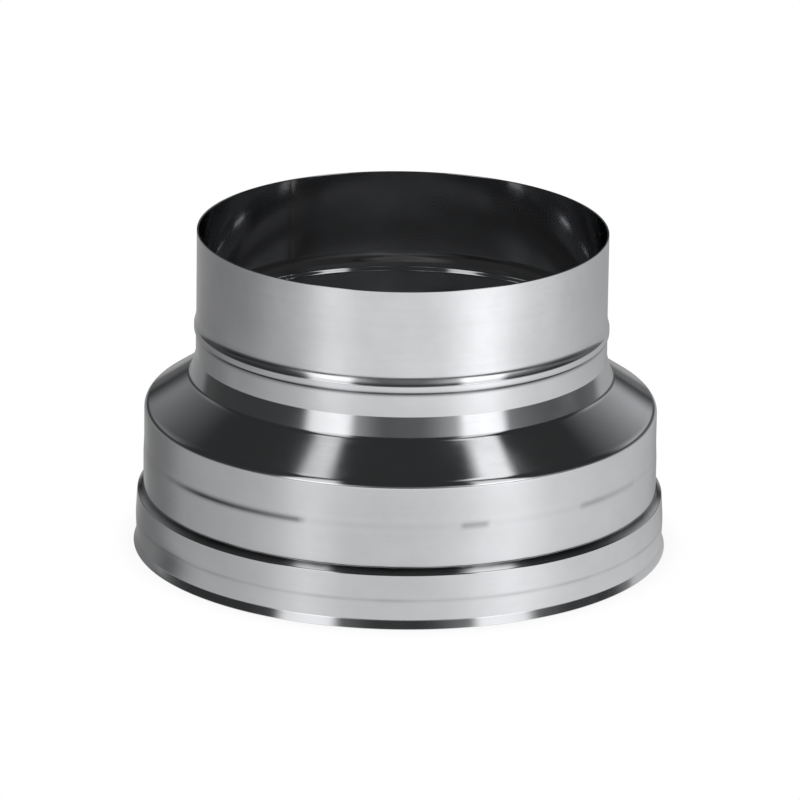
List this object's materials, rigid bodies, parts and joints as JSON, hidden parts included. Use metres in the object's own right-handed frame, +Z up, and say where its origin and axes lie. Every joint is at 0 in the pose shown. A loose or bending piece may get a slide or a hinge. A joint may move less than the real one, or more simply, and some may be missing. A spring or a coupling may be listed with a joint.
{
  "type": "duct reducer",
  "caption": "Round sheet steel duct reducer with a straight spigot and stop bead on top, a sloping cone, and a wider socket below with a stepped ring and flared lip.",
  "frame": {"origin": "centre of the flared lip's level edge, on the duct's axis", "axes": "+Z up along the duct's axis, from the wide socket to the narrow spigot"},
  "size_m": [0.1576, 0.1576, 0.096],
  "materials": {
    "stainless_sheet": "bright satin, as rolled"
  },
  "bodies": {
    "root": {"reducer_body": "stainless_sheet"}
  },
  "joints": []
}
